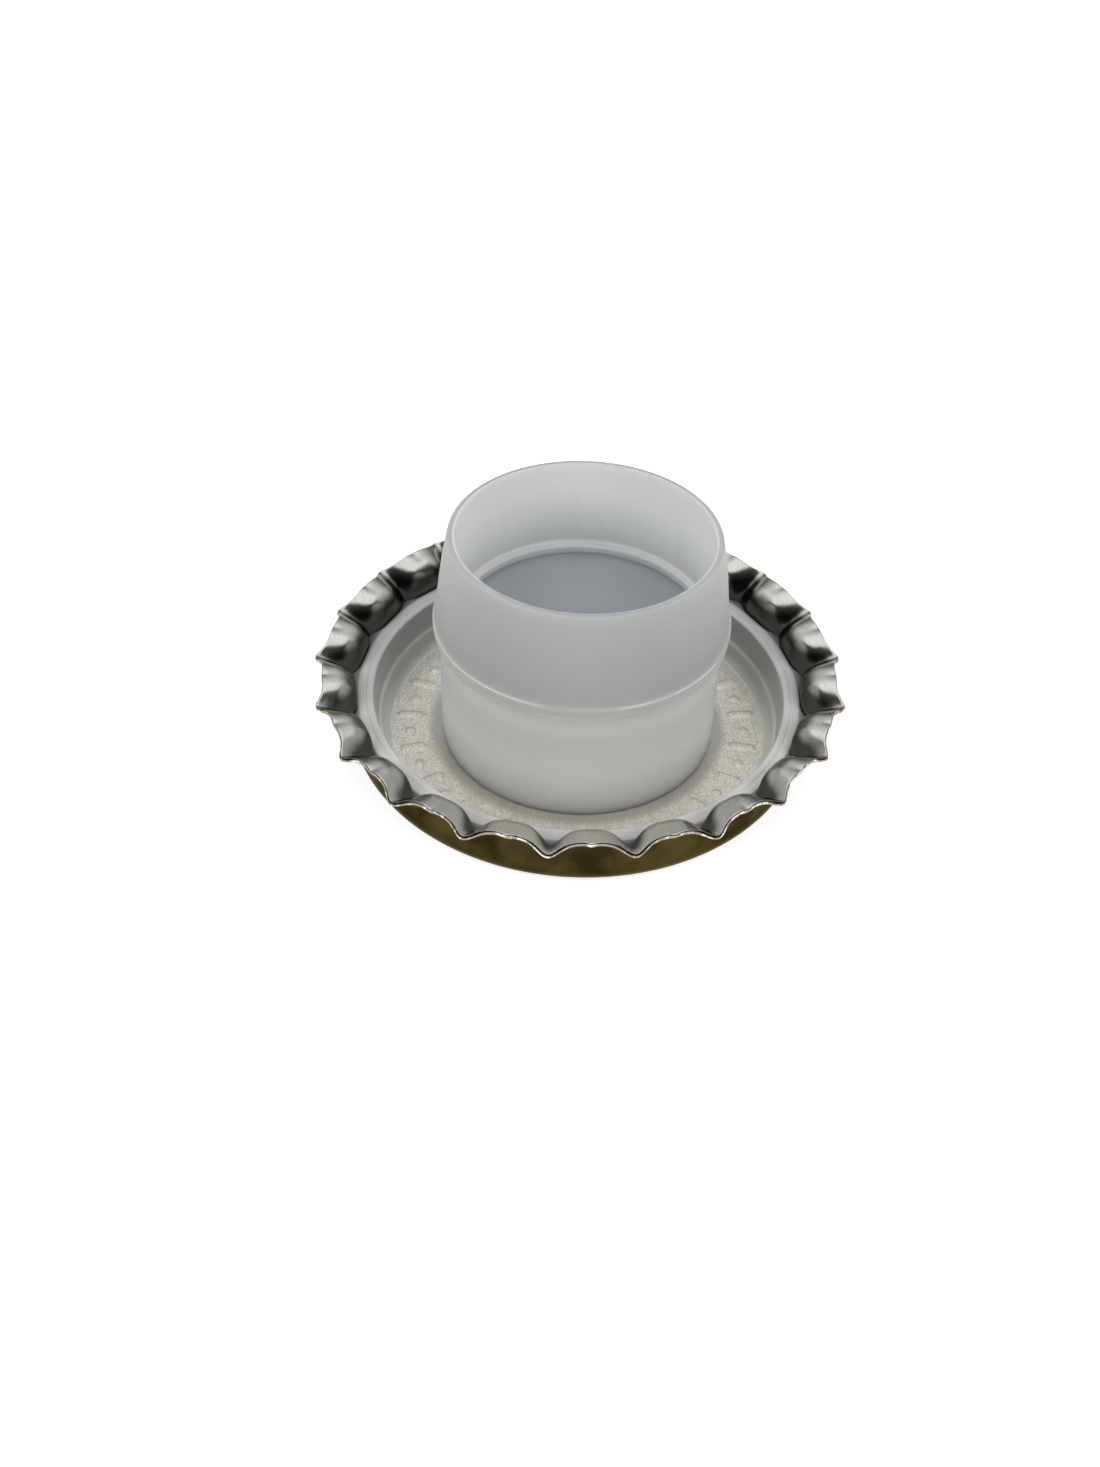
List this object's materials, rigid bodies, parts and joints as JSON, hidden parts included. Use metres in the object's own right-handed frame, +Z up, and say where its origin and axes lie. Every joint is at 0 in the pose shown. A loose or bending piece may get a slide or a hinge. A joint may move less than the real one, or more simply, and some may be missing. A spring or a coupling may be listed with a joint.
{
  "type": "crown cap bottle stopper with plastic cup",
  "caption": "Fluted tinplate crown cap, lying on its panel, with a moulded sealing liner and a hollow frosted plastic stopper cup standing in it.",
  "frame": {"origin": "centre of the crown panel's outer face, which is what the stopper stands on", "axes": "+Z up the cup, away from the crown panel; +X through one of the outward flute ridges"},
  "size_m": [0.032, 0.032, 0.0146],
  "materials": {
    "tinplate": "satin tinplate inside, dark gold lacquer outside",
    "liner": "satin, thin over the metal, with a pale moulded ring",
    "frosted_plastic": "frosted, slightly translucent"
  },
  "bodies": {
    "root": {"crown_shell": "tinplate", "sealing_liner": "liner", "stopper_cup": "frosted_plastic"}
  },
  "joints": []
}
